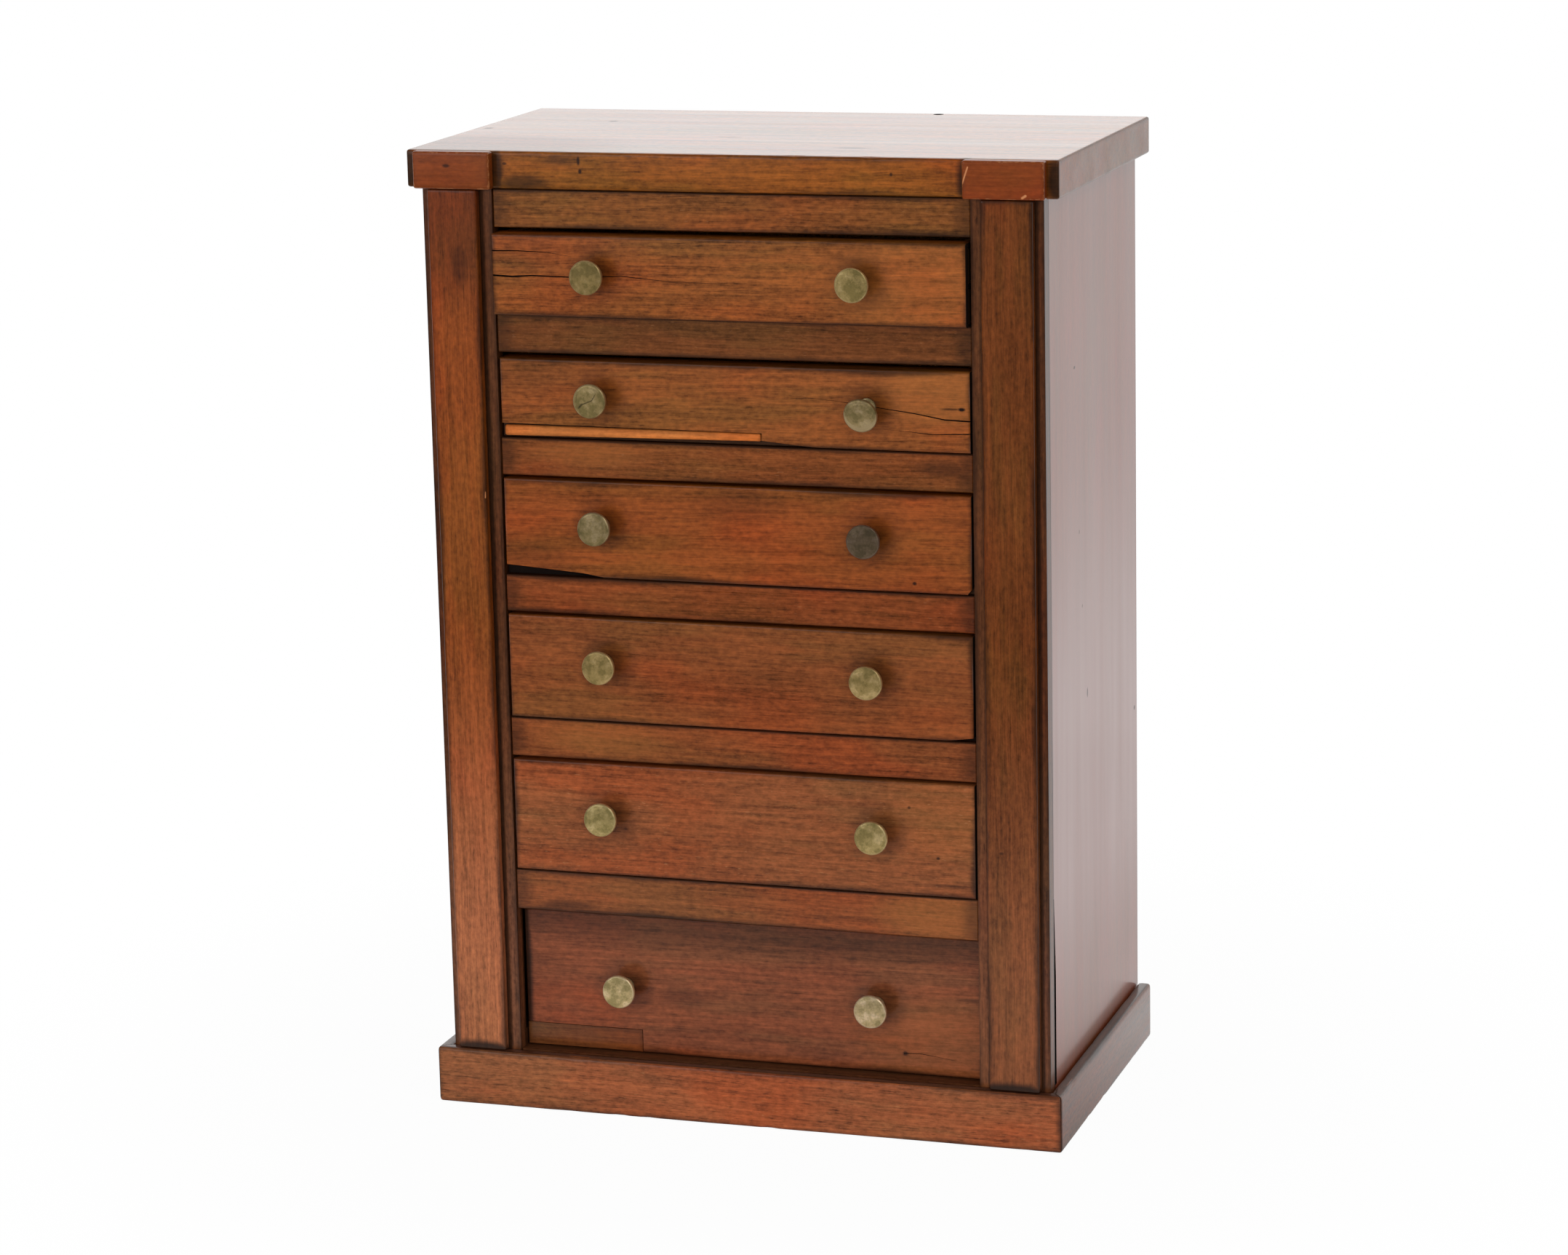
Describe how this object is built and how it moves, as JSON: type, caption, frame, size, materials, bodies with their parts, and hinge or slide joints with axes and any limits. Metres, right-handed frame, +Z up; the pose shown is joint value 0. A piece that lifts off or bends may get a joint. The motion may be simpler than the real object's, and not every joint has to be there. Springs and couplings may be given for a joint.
{
  "type": "tabletop chest of drawers",
  "caption": "Small upright wooden chest for a tabletop, with graduated drawers between flat pilasters, a plinth, a thick top with end blocks and round brass knobs.",
  "frame": {"origin": "on the floor under the middle of the width, midway between the foremost knob and the back", "axes": "+Z up, X across the front, the drawers open towards -Y"},
  "size_m": [0.3106, 0.1928, 0.46],
  "materials": {
    "mahogany": "polished, worn",
    "red_mahogany": "polished, redder",
    "lining_wood": "bare, planed",
    "brass": "aged, dull"
  },
  "bodies": {
    "case": {"top_board": "mahogany", "cap_block_left": "red_mahogany", "cap_block_right": "red_mahogany", "side_left": "mahogany", "side_right": "mahogany", "stile_left": "mahogany", "stile_right": "mahogany", "pilaster_left": "mahogany", "pilaster_right": "mahogany", "plinth_front": "mahogany", "plinth_left": "mahogany", "plinth_right": "mahogany", "back_panel": "lining_wood", "bottom_board": "mahogany", "top_rail": "mahogany", "drawer_rail_1": "mahogany", "drawer_rail_2": "mahogany", "drawer_rail_3": "mahogany", "drawer_rail_4": "mahogany", "drawer_rail_5": "mahogany", "runner_left_1": "lining_wood", "runner_left_2": "lining_wood", "runner_left_3": "lining_wood", "runner_left_4": "lining_wood", "runner_left_5": "lining_wood", "runner_right_1": "lining_wood", "runner_right_2": "lining_wood", "runner_right_3": "lining_wood", "runner_right_4": "lining_wood", "runner_right_5": "lining_wood"},
    "drawer_1": {"drawer_1_front": "mahogany", "drawer_1_box": "lining_wood", "drawer_1_bottom": "lining_wood", "drawer_1_knob_left": "brass", "drawer_1_knob_right": "brass"},
    "drawer_2": {"drawer_2_front": "mahogany", "drawer_2_box": "lining_wood", "drawer_2_bottom": "lining_wood", "drawer_2_knob_left": "brass", "drawer_2_knob_right": "brass"},
    "drawer_3": {"drawer_3_front": "mahogany", "drawer_3_box": "lining_wood", "drawer_3_bottom": "lining_wood", "drawer_3_knob_left": "brass", "drawer_3_knob_right": "brass"},
    "drawer_4": {"drawer_4_front": "mahogany", "drawer_4_box": "lining_wood", "drawer_4_bottom": "lining_wood", "drawer_4_knob_left": "brass", "drawer_4_knob_right": "brass"},
    "drawer_5": {"drawer_5_front": "mahogany", "drawer_5_box": "lining_wood", "drawer_5_bottom": "lining_wood", "drawer_5_knob_left": "brass", "drawer_5_knob_right": "brass"},
    "drawer_6": {"drawer_6_front": "mahogany", "drawer_6_box": "lining_wood", "drawer_6_bottom": "lining_wood", "drawer_6_knob_left": "brass", "drawer_6_knob_right": "brass"}
  },
  "joints": [
    {"name": "drawer_1_slide", "type": "slide", "parent": "case", "child": "drawer_1", "axis": [0, -1, 0], "range_m": [-0.0125, 0.11]},
    {"name": "drawer_2_slide", "type": "slide", "parent": "case", "child": "drawer_2", "axis": [0, -1, 0], "range_m": [-0.0075, 0.11]},
    {"name": "drawer_3_slide", "type": "slide", "parent": "case", "child": "drawer_3", "axis": [0, -1, 0], "range_m": [-0.0075, 0.11]},
    {"name": "drawer_4_slide", "type": "slide", "parent": "case", "child": "drawer_4", "axis": [0, -1, 0], "range_m": [-0.0075, 0.11]},
    {"name": "drawer_5_slide", "type": "slide", "parent": "case", "child": "drawer_5", "axis": [0, -1, 0], "range_m": [-0.0075, 0.11]},
    {"name": "drawer_6_slide", "type": "slide", "parent": "case", "child": "drawer_6", "axis": [0, -1, 0], "range_m": [0, 0.11]}
  ]
}
